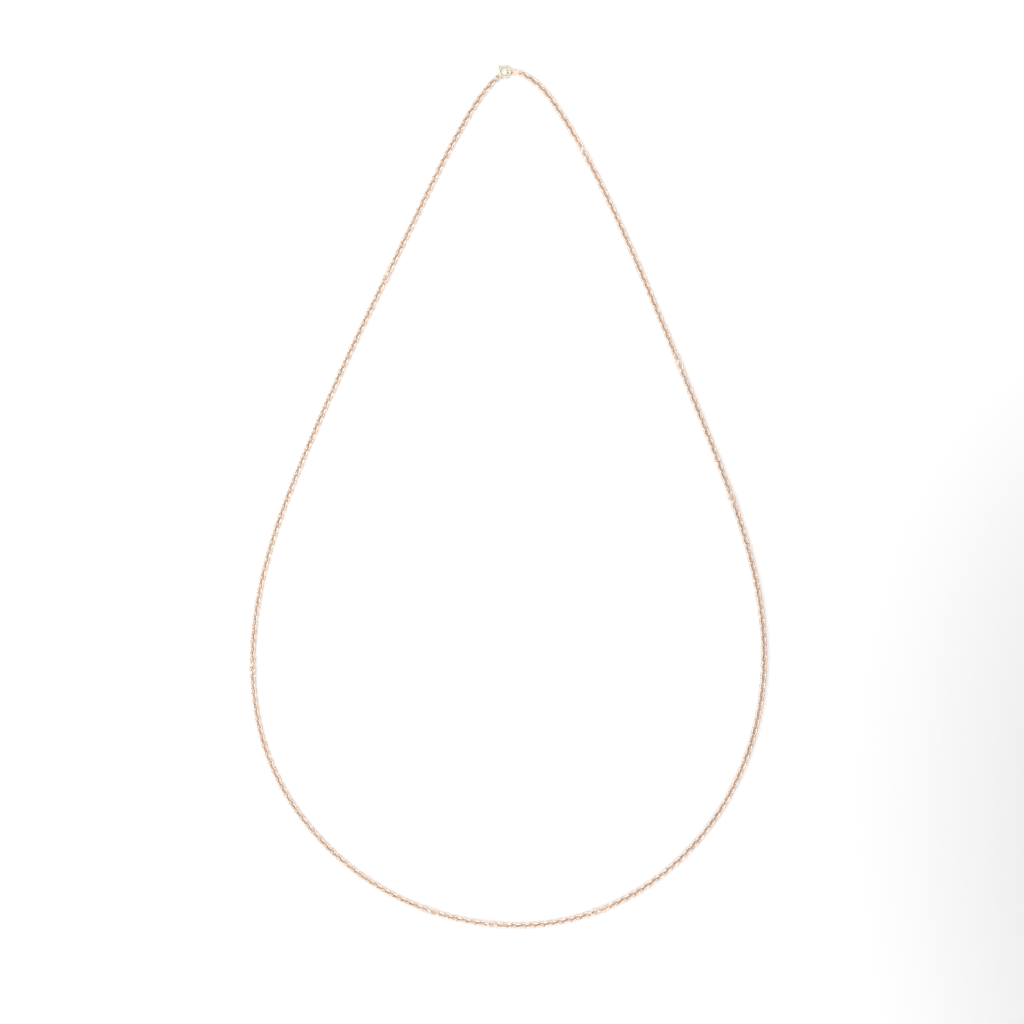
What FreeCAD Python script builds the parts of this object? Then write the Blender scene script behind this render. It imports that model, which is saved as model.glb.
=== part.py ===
import FreeCAD, Part
import math
import os

from FreeCAD import Placement, Rotation, Vector

# A fine chain necklace laid flat in its closed loop, millimetres, +Z up, table at z = 0.
# 459 oval wire links lean left and right in turn. A spring-ring clasp closes the loop at
# its +Y end, where it hooks through the hole of a plain oval tag.

os.makedirs("parts", exist_ok=True)

# ---------------------------------------------------------------- driving dimensions, mm
LINK_WIRE = 0.64
LINK_LENGTH = 3.05
LINK_WIDTH = 2.70
LEAN = 45.0                    # links lean this far, to one side and the other in turn
LEAN_BIAS = 3.0                # the whole chain lies turned over by this much
RIPPLE = 0.05                  # the chain rides up between the links that touch the table
RIPPLE_LINKS = 6
LINKS_PER_STRETCH = 9
SIDE_STRETCHES = 25            # stretches on each side of the bottom one

CLASP_CENTRE = Vector(-1.2, 158.7, 1.08)
RING_RADIUS = 2.0              # centre line of the clasp's tube
TUBE_RADIUS = 0.50
BORE_RADIUS = 0.36
BOLT_RADIUS = 0.30
GAP = (65.0, 113.0)            # mouth of the clasp, degrees anticlockwise from +X
TIP_SOCKET = 25.0              # depth of the socket that takes the bolt's tip, degrees
SPRING_SEAT = 292.0            # where the bore ends, behind the spring
TIP_ANGLE = 54.0
TAIL_ANGLE = 150.0
KNOB_ANGLE = 136.0
BOLT_TRAVEL = 58.0
SLOT_WIDTH = 0.48              # of the slot that the knob's post slides in
SLOT_SLACK = 7.0               # how far the slot runs past the knob at each end, degrees
KNOB_FOOT = 0.10               # the post starts this far outside the tube's centre line
POST_RADIUS = 0.16
POST_LENGTH = 0.80
HEAD_RADIUS = 0.30
EYE_ANGLE = 220.0

SPRING_WIRE = 0.09
SPRING_RADIUS = 0.24
SPRING_TURNS = 15

EYE_RADIUS = 0.75
EYE_WIRE = 0.36
EYE_REACH = RING_RADIUS + TUBE_RADIUS + EYE_RADIUS - 0.045
JUMP_RADIUS = 1.15
JUMP_WIRE = 0.50
JUMP_LEAN = -45.0

TAG_WIDTH = 2.80
TAG_THICKNESS = 0.40
TAG_HOLE_SPACING = 3.90
TAG_HOOK_HOLE = 2.10           # diameter of the hole that the clasp hooks through
TAG_LINK_HOLE = 1.25           # diameter of the hole that the last link passes through
TAG_LEAN = 48.0
TAG_ANGLE = -8.0
TAG_EDGE = 0.10

# The line that the chain lies on, from the link at the jump ring, down the left side,
# round the bottom and up to the link at the tag.
ROUTE = [
    (-5.7, 154.85), (-9.5, 150.4), (-15.7, 140.9), (-36.1, 101.2), (-55.9, 60.6),
    (-74.7, 18.7), (-90.4, -25.1), (-95.3, -59.7), (-90.2, -94.9), (-63.9, -133.8),
    (-22.2, -156.5), (25.1, -157.1), (66.0, -133.2), (90.4, -92.6), (95.5, -57.7),
    (90.4, -22.7), (75.2, 21.4), (57.9, 63.9), (40.0, 105.3), (18.7, 144.5),
    (11.7, 153.4), (5.9, 157.55),
]

# Links where the chain is turned a quarter over, counted from the jump ring.
TWISTS = [45, 136, 207, 221, 244, 350, 382, 433]
TWIST_LINKS = 8

UP = Vector(0, 0, 1)
STRETCHES = 2 * SIDE_STRETCHES + 1
LINKS = LINKS_PER_STRETCH * STRETCHES


def along(angle, length=1.0):
    """Flat vector of a length, at an angle in degrees anticlockwise from +X."""
    turn = math.radians(angle)
    return Vector(length * math.cos(turn), length * math.sin(turn), 0)


def lie(centre, direction, lean):
    """Placement that puts local X on a direction and then leans about it by degrees."""
    heading = math.degrees(math.atan2(direction.y, direction.x))
    return Placement(centre, Rotation(UP, heading) * Rotation(Vector(1, 0, 0), lean))


def placed(shape, placement):
    """Copy of a shape, moved by a placement."""
    copy = shape.copy()
    copy.Placement = placement
    return copy


def oval_link():
    """Oval wire link in the XY plane, long along X: two half rings and two straight wires."""
    half_width = (LINK_WIDTH - LINK_WIRE) / 2
    half_straight = (LINK_LENGTH - LINK_WIDTH) / 2
    wire = LINK_WIRE / 2
    pieces = []
    for side in (1, -1):
        end = Part.makeTorus(half_width, wire, Vector(), UP, -180, 180, 180)
        end.rotate(Vector(), UP, -90 * side)
        end.translate(Vector(side * half_straight, 0, 0))
        start = Vector(-half_straight, side * half_width, 0)
        bar = Part.makeCylinder(wire, 2 * half_straight, start, Vector(1, 0, 0))
        pieces += [end, bar]
    return pieces[0].multiFuse(pieces[1:])


def chain_line():
    """Smooth curve through the route's points, and the distance from link to link."""
    line = Part.BSplineCurve()
    line.interpolate([Vector(x, y, 0) for x, y in ROUTE])
    return line, line.length() / (LINKS - 1)


def twist_at(number):
    """Degrees that the chain has turned over by a link, a quarter at each twist."""
    total = 0.0
    for twist in TWISTS:
        share = min(max((number - twist) / TWIST_LINKS, 0.0), 1.0)
        total += 90.0 * share * share * (3 - 2 * share)
    return total


def link_places():
    """Placement of every link. The steeper of a link and its neighbour sets the height at
    which the chain rests on z = 0, and a slight ripple lifts it between resting links."""
    line, pitch = chain_line()
    half_width = (LINK_WIDTH - LINK_WIRE) / 2
    places = []
    for number in range(LINKS):
        where = line.parameterAtDistance(number * pitch, line.FirstParameter)
        lean = (LEAN if number % 2 == 0 else -LEAN) + LEAN_BIAS + twist_at(number)
        turn = math.radians(lean)
        steepest = max(abs(math.sin(turn)), abs(math.cos(turn)))
        centre = line.value(where)
        wave = (1 - math.cos(2 * math.pi * number / RIPPLE_LINKS)) / 2
        centre.z = half_width * steepest + LINK_WIRE / 2 + RIPPLE * wave
        places.append(lie(centre, line.tangent(where)[0], lean))
    return places


def stretch_name(index):
    """Name of a stretch, counted up each side from the bottom one."""
    step = index - SIDE_STRETCHES
    if step == 0:
        return "bottom_stretch"
    return f"{'right' if step > 0 else 'left'}_stretch_{abs(step):02d}"


def ring_arc(radius, start, stop):
    """Bent round rod on the clasp's centre line, between two angles in degrees."""
    rod = Part.makeTorus(RING_RADIUS, radius, Vector(), UP, -180, 180, stop - start)
    rod.rotate(Vector(), UP, start)
    return rod


def at_clasp(shape):
    """Move a shape from the clasp's own frame to its place."""
    shape.translate(CLASP_CENTRE)
    return shape


def clasp_tube():
    """Open tube ring with a bore for the bolt, a socket for its tip and a slot for its knob."""
    tube = ring_arc(TUBE_RADIUS, GAP[1], GAP[0] + 360)
    bore = ring_arc(BORE_RADIUS, GAP[1] - 1, SPRING_SEAT)
    socket = ring_arc(BORE_RADIUS, GAP[0] - TIP_SOCKET, GAP[0] + 1)
    slot_half = SLOT_WIDTH / 2
    inner = RING_RADIUS + KNOB_FOOT
    outer = RING_RADIUS + 1.5 * TUBE_RADIUS
    corners = [(inner, -slot_half), (outer, -slot_half), (outer, slot_half), (inner, slot_half)]
    points = [Vector(x, 0, z) for x, z in corners]
    face = Part.Face(Part.makePolygon(points + points[:1]))
    slot = face.revolve(Vector(), UP, BOLT_TRAVEL + 2 * SLOT_SLACK)
    slot.rotate(Vector(), UP, KNOB_ANGLE - SLOT_SLACK)
    return at_clasp(tube.cut(bore).cut(socket).cut(slot))


def clasp_bolt():
    """Bent wire bolt that crosses the mouth, with a rounded tip."""
    bolt = ring_arc(BOLT_RADIUS, TIP_ANGLE, TAIL_ANGLE)
    tip = Part.makeSphere(BOLT_RADIUS, along(TIP_ANGLE, RING_RADIUS))
    return at_clasp(bolt.fuse(tip).removeSplitter())


def clasp_knob():
    """Thumb knob: a post through the slot, seated on the bolt, with a round head."""
    outward = along(KNOB_ANGLE)
    foot = outward * (RING_RADIUS + KNOB_FOOT)
    post = Part.makeCylinder(POST_RADIUS, POST_LENGTH, foot, outward)
    head = Part.makeSphere(HEAD_RADIUS, foot + outward * POST_LENGTH)
    bolt = ring_arc(BOLT_RADIUS, TIP_ANGLE, TAIL_ANGLE)
    return at_clasp(post.fuse(head).cut(bolt))


def clasp_spring():
    """Coil spring in the bore, behind the bolt's tail: a wire wound round the centre line."""
    start = TAIL_ANGLE + 2
    sweep = SPRING_SEAT - 2 - start
    steps = 10 * SPRING_TURNS
    points = []
    for step in range(steps + 1):
        share = step / steps
        turn = 2 * math.pi * SPRING_TURNS * share
        reach = RING_RADIUS + SPRING_RADIUS * math.cos(turn)
        height = Vector(0, 0, SPRING_RADIUS * math.sin(turn))
        points.append(along(start + sweep * share, reach) + height)
    path = Part.BSplineCurve()
    path.interpolate(points)
    circle = Part.Circle(points[0], path.tangent(path.FirstParameter)[0], SPRING_WIRE / 2)
    section = Part.Wire([circle.toShape()])
    return at_clasp(Part.Wire([path.toShape()]).makePipeShell([section], True, True))


def clasp_eye():
    """Small flat loop soldered to the outside of the tube, which holds the jump ring."""
    centre = along(EYE_ANGLE, EYE_REACH)
    eye = Part.makeTorus(EYE_RADIUS, EYE_WIRE / 2, centre, UP)
    tube = ring_arc(TUBE_RADIUS, GAP[1], GAP[0] + 360)
    return at_clasp(eye.cut(tube))


def jump_ring():
    """Round wire ring that joins the clasp's eye to the first link."""
    centre = CLASP_CENTRE + along(EYE_ANGLE, EYE_REACH + JUMP_RADIUS)
    ring = Part.makeTorus(JUMP_RADIUS, JUMP_WIRE / 2)
    return placed(ring, lie(centre, along(EYE_ANGLE), JUMP_LEAN))


def end_tag():
    """Plain oval plate with a hole at each end, its rims rounded."""
    half = TAG_WIDTH / 2
    thick = TAG_THICKNESS
    plate = Part.makeBox(TAG_HOLE_SPACING, TAG_WIDTH, thick, Vector(0, -half, -thick / 2))
    for x in (0, TAG_HOLE_SPACING):
        plate = plate.fuse(Part.makeCylinder(half, thick, Vector(x, 0, -thick / 2)))
    plate = plate.removeSplitter()
    for x, diameter in ((0, TAG_HOOK_HOLE), (TAG_HOLE_SPACING, TAG_LINK_HOLE)):
        plate = plate.cut(Part.makeCylinder(diameter / 2, 2 * thick, Vector(x, 0, -thick)))
    rims = [edge for edge in plate.Edges if abs(edge.BoundBox.ZMax - edge.BoundBox.ZMin) < 1e-6]
    plate = plate.makeFillet(TAG_EDGE, rims)
    hook = CLASP_CENTRE + along(TAG_ANGLE / 2, RING_RADIUS)
    lean = math.radians(TAG_LEAN)
    hook.z = half * math.sin(lean) + thick / 2 * math.cos(lean)
    return placed(plate, lie(hook, along(TAG_ANGLE), TAG_LEAN))


def export_all():
    """Write every stretch of chain and every clasp piece to its own file."""
    link = oval_link()
    places = link_places()
    for index in range(STRETCHES):
        first = index * LINKS_PER_STRETCH
        group = [placed(link, place) for place in places[first:first + LINKS_PER_STRETCH]]
        Part.makeCompound(group).exportStep(f"parts/{stretch_name(index)}.step")
    pieces = {
        "clasp_ring": clasp_tube(),
        "clasp_bolt": clasp_bolt(),
        "clasp_thumb_knob": clasp_knob(),
        "clasp_spring": clasp_spring(),
        "clasp_eye": clasp_eye(),
        "clasp_jump_ring": jump_ring(),
        "end_tag": end_tag(),
    }
    for name, shape in pieces.items():
        shape.exportStep(f"parts/{name}.step")
        print(name, "solids", len(shape.Solids), "valid", shape.isValid(), "mm3", round(shape.Volume, 3))
    line, pitch = chain_line()
    print("chain line", round(line.length(), 2), "mm,", LINKS, "links at", round(pitch, 4), "mm")


export_all()
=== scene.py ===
import math

import bpy
import numpy as np
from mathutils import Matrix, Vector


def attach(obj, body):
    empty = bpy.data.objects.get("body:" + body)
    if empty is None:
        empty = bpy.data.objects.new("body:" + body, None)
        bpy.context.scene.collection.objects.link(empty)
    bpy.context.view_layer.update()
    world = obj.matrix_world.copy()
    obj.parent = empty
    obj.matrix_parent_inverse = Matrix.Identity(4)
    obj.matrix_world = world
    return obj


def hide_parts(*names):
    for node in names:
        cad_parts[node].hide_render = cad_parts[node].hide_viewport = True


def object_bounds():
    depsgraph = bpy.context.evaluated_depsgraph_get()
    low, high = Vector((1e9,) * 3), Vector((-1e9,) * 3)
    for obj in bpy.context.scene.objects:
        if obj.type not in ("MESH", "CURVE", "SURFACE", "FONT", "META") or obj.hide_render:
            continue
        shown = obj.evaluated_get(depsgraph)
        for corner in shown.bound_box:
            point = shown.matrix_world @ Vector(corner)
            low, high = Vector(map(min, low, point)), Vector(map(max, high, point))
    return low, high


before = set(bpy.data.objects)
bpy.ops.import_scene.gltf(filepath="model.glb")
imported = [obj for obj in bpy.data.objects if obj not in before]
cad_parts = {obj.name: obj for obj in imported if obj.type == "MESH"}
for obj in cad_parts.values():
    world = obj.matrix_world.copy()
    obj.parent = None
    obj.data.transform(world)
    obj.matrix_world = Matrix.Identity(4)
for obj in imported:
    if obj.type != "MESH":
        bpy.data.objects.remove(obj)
cad_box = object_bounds()

# A fine rose-gold chain necklace, laid flat. Metres, in the frame of the design.

# ---------------------------------------------------------------- sizes
LINKS_IN_STRETCH = 9
LINK_HALF_LENGTH = 0.001205    # to the wire's centre line
LINK_HALF_WIDTH = 0.00103
WIRE_RADIUS = 0.00032
CAGE_AROUND = 12               # cage sections round a link
CAGE_WIRE = 6                  # cage corners round its wire
SMOOTH_LEVELS = 2
HAND_VARIATION = 0.006         # how far links differ in length and width, as a share

CAMERA_HEIGHT = 1.115
CAMERA_BACK = 0.0056           # its place from the box's middle, away from the clasp
CAMERA_SIDE = 0.0015           # and to the right
LENS = 105.0                   # millimetres, as is the sensor
SENSOR = 36.0
NEAREST_SEEN = 0.01

# Strength of the light from round about, by height: 0 at the horizon and 1 straight above.
HORIZON_LIGHT = 0.1
OVERHEAD_LIGHT = 1.95
LIGHT_FROM = 0.42              # it grows between these two heights
LIGHT_FULL = 0.85
HOOD_EDGE = 0.92               # and dims again between these two, down to a share of itself
HOOD_MIDDLE = 0.985
HOOD_SHARE = 0.35
LEFT_SHARE = 0.15              # how much brighter the left is, and how much darker the right

FRONT_PLACE = (-0.05, -0.50, 0.12)
FRONT_POWER = 0.30
LEFT_PLACE = (-0.40, 0.16, 0.32)
LEFT_POWER = 0.45
LAMP_SIZE = 0.3

FLOOR_HALF = 0.9
FLOOR_GAP = 0.00005            # how far the floor lies under the chain
CARD_X = 0.28                  # the dark card's place on the right, its ends and its top
CARD_ENDS = (-0.30, 0.03)
CARD_TOP = 0.27

WHITE = (1.0, 1.0, 1.0, 1.0)
CARD_GREY = (0.03, 0.03, 0.03, 1.0)
MATT = 0.9
PAPER_SHEEN = 0.1
# Pale and deep tones of the metals.
ROSE = ((0.96, 0.82, 0.72, 1.0), (0.87, 0.68, 0.55, 1.0))
WARM = ((0.90, 0.82, 0.66, 1.0), (0.72, 0.64, 0.47, 1.0))
STEEL = ((0.62, 0.61, 0.59, 1.0), (0.50, 0.49, 0.47, 1.0))
LINK_FINENESS = 9000.0         # how close polish marks lie: noise cells in a metre
CLASP_FINENESS = 5000.0
PATCH_SHARE = 0.55             # of the change of tone; the rest goes by the piece
CLASP_TONE = 0.4               # 0 is the palest piece and 1 the deepest
CLOUD_FINENESS = 0.16          # of the haze's clouds, as a share of the marks'
MARK_DEPTH = 0.00002
SEAM_PLACE = 0.25              # the solder seam, in turns round a link
SEAM_HALF_WIDTH = 0.028
SEAM_HEIGHT = 0.8
TONE_SEEDS = 1000              # added to a stretch's seed to draw its links' tones


# ---------------------------------------------------------------- node trees
def add(tree, kind, inputs=None, **settings):
    """A node of a kind, with its settings, and its inputs set or linked by name or number."""
    node = tree.nodes.new(kind)
    for name, value in settings.items():
        setattr(node, name, value)
    for key, value in (inputs or {}).items():
        if isinstance(value, bpy.types.NodeSocket):
            tree.links.new(value, node.inputs[key])
        else:
            node.inputs[key].default_value = value
    return node


def group(name, inputs, outputs):
    """An empty shader group with named sockets, and its input and output nodes."""
    tree = bpy.data.node_groups.new(name, "ShaderNodeTree")
    for label, kind, value in inputs:
        socket = tree.interface.new_socket(label, in_out="INPUT", socket_type=kind)
        if value is not None:
            socket.default_value = value
    for label, kind in outputs:
        tree.interface.new_socket(label, in_out="OUTPUT", socket_type=kind)
    return tree, tree.nodes.new("NodeGroupInput"), tree.nodes.new("NodeGroupOutput")


def math_node(tree, operation, first, second=0.0, clamp=False):
    """One step of arithmetic on values."""
    inputs = {0: first, 1: second}
    return add(tree, "ShaderNodeMath", inputs, operation=operation, use_clamp=clamp).outputs[0]


def span(tree, value, low, high, to_low=0.0, to_high=1.0):
    """A value carried from one span to another and held at its ends."""
    inputs = {
        "Value": value, "From Min": low, "From Max": high, "To Min": to_low, "To Max": to_high,
    }
    return add(tree, "ShaderNodeMapRange", inputs).outputs["Result"]


def make_polish_marks():
    """Fine marks that polishing leaves: two crossed sets of stretched noise, as a height."""
    tree, given, out = group(
        "Polish marks",
        [("Position", "NodeSocketVector", None), ("Fineness", "NodeSocketFloat", LINK_FINENESS)],
        [("Height", "NodeSocketFloat"), ("Haze", "NodeSocketFloat")],
    )
    heights = []
    for turn, stretch in ((0.6, (1.0, 0.12, 1.0)), (2.1, (0.15, 1.0, 1.0))):
        turned = add(tree, "ShaderNodeMapping", {
            "Vector": given.outputs["Position"], "Rotation": (0.4, 0.3, turn), "Scale": stretch,
        })
        noise = add(tree, "ShaderNodeTexNoise", {
            "Vector": turned.outputs["Vector"], "Scale": given.outputs["Fineness"],
            "Detail": 2.0, "Roughness": 0.6,
        })
        heights.append(noise.outputs["Fac"])
    both = math_node(tree, "ADD", heights[0], heights[1])
    tree.links.new(math_node(tree, "MULTIPLY", both, 0.5), out.inputs["Height"])
    coarse = math_node(tree, "MULTIPLY", given.outputs["Fineness"], CLOUD_FINENESS)
    cloud = add(tree, "ShaderNodeTexNoise", {
        "Vector": given.outputs["Position"], "Scale": coarse, "Detail": 3.0, "Roughness": 0.55,
    })
    tree.links.new(span(tree, cloud.outputs["Fac"], 0.35, 0.7), out.inputs["Haze"])
    return tree


def make_plating():
    """Plated metal: a colour between a pale and a deep tone, by patches and by the piece."""
    tree, given, out = group(
        "Rose plating",
        [
            ("Position", "NodeSocketVector", None),
            ("Pale", "NodeSocketColor", WHITE),
            ("Deep", "NodeSocketColor", WHITE),
            ("Piece tone", "NodeSocketFloat", 0.5),
            ("Patch size", "NodeSocketFloat", 700.0),
        ],
        [("Color", "NodeSocketColor")],
    )
    patches = add(tree, "ShaderNodeTexNoise", {
        "Vector": given.outputs["Position"], "Scale": given.outputs["Patch size"],
        "Detail": 3.0, "Roughness": 0.6,
    })
    uneven = span(tree, patches.outputs["Fac"], 0.35, 0.65)
    patch = math_node(tree, "MULTIPLY", uneven, PATCH_SHARE)
    piece = math_node(tree, "MULTIPLY", given.outputs["Piece tone"], 1 - PATCH_SHARE)
    mixed = add(tree, "ShaderNodeMix", {
        "Factor": math_node(tree, "ADD", patch, piece, clamp=True),
        "A": given.outputs["Pale"], "B": given.outputs["Deep"],
    }, data_type="RGBA")
    tree.links.new(mixed.outputs["Result"], out.inputs["Color"])
    return tree


def make_band():
    """A soft band at one place along a 0 to 1 value that runs round a ring, such as a seam."""
    tree, given, out = group(
        "Band on a ring",
        [
            ("Along", "NodeSocketFloat", 0.0),
            ("Place", "NodeSocketFloat", SEAM_PLACE),
            ("Half width", "NodeSocketFloat", SEAM_HALF_WIDTH),
        ],
        [("Mask", "NodeSocketFloat")],
    )
    away = math_node(tree, "SUBTRACT", given.outputs["Along"], given.outputs["Place"])
    wrapped = add(tree, "ShaderNodeMath", {0: away, 1: 0.5, 2: -0.5}, operation="WRAP")
    apart = math_node(tree, "ABSOLUTE", wrapped.outputs[0])
    share = math_node(tree, "DIVIDE", apart, given.outputs["Half width"])
    tree.links.new(math_node(tree, "SUBTRACT", 1.0, share, clamp=True), out.inputs["Mask"])
    return tree


POLISH = make_polish_marks()
PLATING = make_plating()
BAND = make_band()


def metal(name):
    """A new metal material and its tree."""
    made = bpy.data.materials.new(name)
    made.use_nodes = True
    made.node_tree.nodes["Principled BSDF"].inputs["Metallic"].default_value = 1.0
    return made, made.node_tree


def finish_metal(tree, tone, colours, fineness, rough, bump, ridge=None):
    """Plating between a pale and a deep colour, polish haze in the roughness, and polish marks
    and a ridge, if there is one, in the bump."""
    shader = tree.nodes["Principled BSDF"]
    where = add(tree, "ShaderNodeTexCoord").outputs["Object"]
    plate = add(tree, "ShaderNodeGroup", {
        "Position": where, "Pale": colours[0], "Deep": colours[1], "Piece tone": tone,
    }, node_tree=PLATING)
    marks = add(tree, "ShaderNodeGroup", {
        "Position": where, "Fineness": fineness,
    }, node_tree=POLISH)
    tree.links.new(plate.outputs["Color"], shader.inputs["Base Color"])
    rough_value = span(tree, marks.outputs["Haze"], 0.0, 1.0, rough[0], rough[1])
    tree.links.new(rough_value, shader.inputs["Roughness"])
    height = marks.outputs["Height"]
    if ridge is not None:
        height = math_node(tree, "ADD", height, ridge)
    relief = add(tree, "ShaderNodeBump", {
        "Strength": bump, "Distance": MARK_DEPTH, "Height": height,
    })
    tree.links.new(relief.outputs["Normal"], shader.inputs["Normal"])


def link_metal():
    """Polished wire of the links, each in a tone of its own and with a solder seam on one side."""
    made, tree = metal("rose_gold_wire")
    tone = add(tree, "ShaderNodeAttribute", attribute_name="link_tone").outputs["Fac"]
    round_link = add(tree, "ShaderNodeUVMap", uv_map="round_link").outputs["UV"]
    place = add(tree, "ShaderNodeSeparateXYZ", {"Vector": round_link})
    seam = add(tree, "ShaderNodeGroup", {
        "Along": place.outputs["X"], "Place": SEAM_PLACE, "Half width": SEAM_HALF_WIDTH,
    }, node_tree=BAND)
    ridge = math_node(tree, "MULTIPLY", seam.outputs["Mask"], SEAM_HEIGHT)
    finish_metal(tree, tone, ROSE, LINK_FINENESS, (0.20, 0.36), 0.25, ridge)
    return made


def plain_metal(name, colours, rough, bump):
    """Polished metal of the clasp's and the tag's pieces."""
    made, tree = metal(name)
    finish_metal(tree, CLASP_TONE, colours, CLASP_FINENESS, rough, bump)
    return made


# ---------------------------------------------------------------- links
def link_places(node):
    """Centre and three axes of each link of a CAD stretch: the mean and the main directions
    of its own run of vertices, long axis first and the axis out of the link's plane last."""
    mesh = node.data
    flat = np.empty(len(mesh.vertices) * 3)
    mesh.vertices.foreach_get("co", flat)
    runs = flat.reshape(LINKS_IN_STRETCH, -1, 3)
    centres = runs.mean(axis=1)
    offsets = runs - centres[:, None, :]
    spread = np.einsum("nki,nkj->nij", offsets, offsets)
    axes = np.linalg.eigh(spread)[1][:, :, ::-1].transpose(0, 2, 1)
    handed = np.sign(np.linalg.det(axes))
    axes[:, 2] *= handed[:, None]
    return centres, axes


def link_cages(centres, axes, seed):
    """Cage points of every link: a six-sided wire carried round an oval. The oval is
    (A cos t, B sin t), the wire is r cos s outwards and r sin s upwards, and all are
    enlarged by what cubic smoothing takes away, (2 + cos step) / 3 in each direction."""
    draw = np.random.default_rng(seed)
    t = np.arange(CAGE_AROUND) * 2 * math.pi / CAGE_AROUND
    s = np.arange(CAGE_WIRE) * 2 * math.pi / CAGE_WIRE
    shrink_round = (2 + math.cos(2 * math.pi / CAGE_AROUND)) / 3
    shrink_wire = (2 + math.cos(2 * math.pi / CAGE_WIRE)) / 3
    count = len(centres)
    vary = 1 + HAND_VARIATION * draw.uniform(-1, 1, (count, 2))
    long_half = LINK_HALF_LENGTH / shrink_round * vary[:, :1]
    wide_half = LINK_HALF_WIDTH / shrink_round * vary[:, 1:]
    outward = np.stack([LINK_HALF_WIDTH * np.cos(t), LINK_HALF_LENGTH * np.sin(t)], axis=1)
    outward /= np.linalg.norm(outward, axis=1)[:, None]
    reach = WIRE_RADIUS / (shrink_wire * shrink_round) * np.cos(s)
    lift = WIRE_RADIUS / shrink_wire * np.sin(s)
    shape = (count, CAGE_AROUND, CAGE_WIRE)
    x = (long_half * np.cos(t))[:, :, None] + outward[:, 0][None, :, None] * reach
    y = (wide_half * np.sin(t))[:, :, None] + outward[:, 1][None, :, None] * reach
    z = np.broadcast_to(lift, shape)
    local = np.stack([np.broadcast_to(x, shape), np.broadcast_to(y, shape), z], axis=-1)
    turned = np.einsum("ntsi,nij->ntsj", local, axes)
    return turned + centres[:, None, None, :]


def ring_faces(count):
    """Quads that close every cage both ways, and the 0 to 1 place of each corner round it."""
    link, i, j = np.meshgrid(
        np.arange(count), np.arange(CAGE_AROUND), np.arange(CAGE_WIRE), indexing="ij"
    )
    corners = []
    places = []
    for step_i, step_j in ((0, 0), (1, 0), (1, 1), (0, 1)):
        row = (i + step_i) % CAGE_AROUND
        column = (j + step_j) % CAGE_WIRE
        corners.append((link * CAGE_AROUND + row) * CAGE_WIRE + column)
        places.append(np.stack([(i + step_i) / CAGE_AROUND, (j + step_j) / CAGE_WIRE], axis=-1))
    faces = np.stack(corners, axis=-1).reshape(-1, 4)
    return faces, np.stack(places, axis=-2).reshape(-1, 2)


def chain_stretch(name, node, seed, material):
    """One stretch of links as a smooth piece in its CAD node's place."""
    centres, axes = link_places(node)
    points = link_cages(centres, axes, seed)
    faces, places = ring_faces(len(centres))
    mesh = bpy.data.meshes.new(name)
    mesh.from_pydata(points.reshape(-1, 3), [], faces)
    mesh.polygons.foreach_set("use_smooth", np.ones(len(faces), bool))
    mesh.uv_layers.new(name="round_link").data.foreach_set("uv", places.ravel())
    tones = np.random.default_rng(seed + TONE_SEEDS).random(len(centres))
    tone = mesh.attributes.new("link_tone", "FLOAT", "POINT")
    tone.data.foreach_set("value", np.repeat(tones, CAGE_AROUND * CAGE_WIRE))
    mesh.materials.append(material)
    mesh.update()
    piece = bpy.data.objects.new(name, mesh)
    bpy.context.scene.collection.objects.link(piece)
    smooth = piece.modifiers.new("smooth", "SUBSURF")
    smooth.levels = SMOOTH_LEVELS
    smooth.render_levels = SMOOTH_LEVELS
    return piece


def make_chain():
    """Every stretch of the chain, riding on the body of its own name."""
    wire = link_metal()
    stretches = sorted(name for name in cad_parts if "_stretch" in name)
    for seed, name in enumerate(stretches):
        piece = chain_stretch(f"{name}_links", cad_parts[name], seed, wire)
        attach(piece, name)
        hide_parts(name)


# ---------------------------------------------------------------- clasp and tag
def dress(names, material):
    """Give CAD nodes a finish of their own."""
    for name in names:
        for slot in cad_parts[name].material_slots:
            slot.material = material


def make_clasp():
    """Finishes of the clasp's pieces, the jump ring and the tag: lowest and highest roughness,
    then the strength of the polish marks."""
    dress(["clasp_ring", "clasp_eye"], plain_metal("clasp_tube", WARM, (0.16, 0.32), 0.2))
    bolt_metal = plain_metal("clasp_bolt", WARM, (0.22, 0.38), 0.3)
    dress(["clasp_bolt", "clasp_thumb_knob"], bolt_metal)
    dress(["clasp_jump_ring"], plain_metal("jump_ring_wire", ROSE, (0.14, 0.30), 0.2))
    dress(["end_tag"], plain_metal("tag_plate", ROSE, (0.18, 0.34), 0.35))
    dress(["clasp_spring"], plain_metal("spring_wire", STEEL, (0.25, 0.40), 0.2))


# ---------------------------------------------------------------- stage
def stage_quad(name, corners, paint, colour):
    """A flat four-sided object in a matt paint, and the paint's shader."""
    mesh = bpy.data.meshes.new(name)
    mesh.from_pydata(corners, [], [(0, 1, 2, 3)])
    made = bpy.data.materials.new(paint)
    made.use_nodes = True
    shader = made.node_tree.nodes["Principled BSDF"]
    shader.inputs["Base Color"].default_value = colour
    shader.inputs["Roughness"].default_value = MATT
    mesh.materials.append(made)
    piece = bpy.data.objects.new(name, mesh)
    bpy.context.scene.collection.objects.link(piece)
    return piece, shader


def make_floor():
    """A plain white floor under the necklace."""
    level = cad_box[0].z - FLOOR_GAP
    signs = ((-1, -1), (1, -1), (1, 1), (-1, 1))
    corners = [(x * FLOOR_HALF, y * FLOOR_HALF, level) for x, y in signs]
    floor, shader = stage_quad("floor", corners, "white_paper", WHITE)
    shader.inputs["Specular IOR Level"].default_value = PAPER_SHEEN


def make_card():
    """A dark card on the right, which gives that side's metal something dark to reflect."""
    near, far = CARD_ENDS
    corners = [(CARD_X, y, z) for y, z in ((near, 0), (far, 0), (far, CARD_TOP), (near, CARD_TOP))]
    card, _ = stage_quad("card", corners, "dark_card", CARD_GREY)


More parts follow.
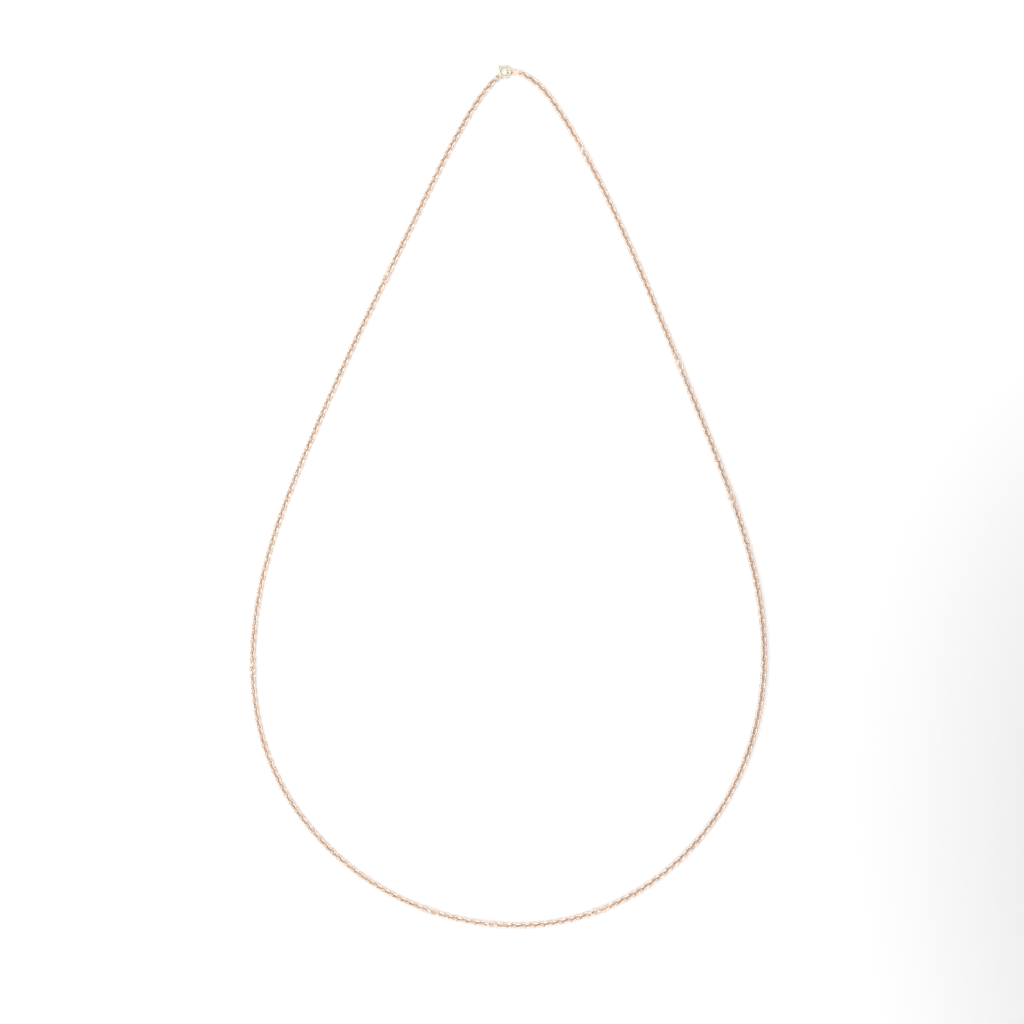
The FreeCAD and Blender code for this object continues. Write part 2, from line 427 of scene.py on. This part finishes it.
def area_light(name, place, power):
    """A soft square light at a place, aimed at the middle of the stage."""
    lamp = bpy.data.lights.new(name, "AREA")
    lamp.shape = "SQUARE"
    lamp.size = LAMP_SIZE
    lamp.energy = power
    holder = bpy.data.objects.new(name, lamp)
    x, y, z = place
    pitch = math.acos(z / math.sqrt(x * x + y * y + z * z))
    turn = math.atan2(-y, -x) - math.pi / 2
    holder.location = place
    holder.rotation_euler = (pitch, 0.0, turn)
    bpy.context.scene.collection.objects.link(holder)


def make_lights():
    """Light from round about, strongest high up, dim at the horizon and less straight above,
    where a hood would be, and brighter on the left. Two soft lamps add to it."""
    world = bpy.data.worlds.new("studio")
    world.use_nodes = True
    tree = world.node_tree
    back = tree.nodes["Background"]
    back.inputs["Color"].default_value = WHITE
    toward = add(tree, "ShaderNodeSeparateXYZ", {
        "Vector": add(tree, "ShaderNodeTexCoord").outputs["Generated"],
    }).outputs
    height = span(tree, toward["Z"], LIGHT_FROM, LIGHT_FULL, HORIZON_LIGHT, OVERHEAD_LIGHT)
    hood = span(tree, toward["Z"], HOOD_EDGE, HOOD_MIDDLE, 1.0, HOOD_SHARE)
    tent = math_node(tree, "MULTIPLY", height, hood)
    side = span(tree, toward["X"], -1.0, 1.0, 1.0 + LEFT_SHARE, 1.0 - LEFT_SHARE)
    tree.links.new(math_node(tree, "MULTIPLY", tent, side), back.inputs["Strength"])
    bpy.context.scene.world = world
    area_light("front", FRONT_PLACE, FRONT_POWER)
    area_light("left", LEFT_PLACE, LEFT_POWER)


def make_camera():
    """Camera straight above, with a long lens."""
    low, high = cad_box
    lens = bpy.data.cameras.new("camera")
    lens.lens = LENS
    lens.sensor_width = SENSOR
    lens.clip_start = NEAREST_SEEN
    camera = bpy.data.objects.new("camera", lens)
    middle = (low + high) / 2
    camera.location = (middle.x + CAMERA_SIDE, middle.y - CAMERA_BACK, low.z + CAMERA_HEIGHT)
    bpy.context.scene.collection.objects.link(camera)
    bpy.context.scene.camera = camera


make_chain()
make_clasp()
make_floor()
make_card()
make_lights()
make_camera()
bpy.context.scene.view_settings.view_transform = "Standard"
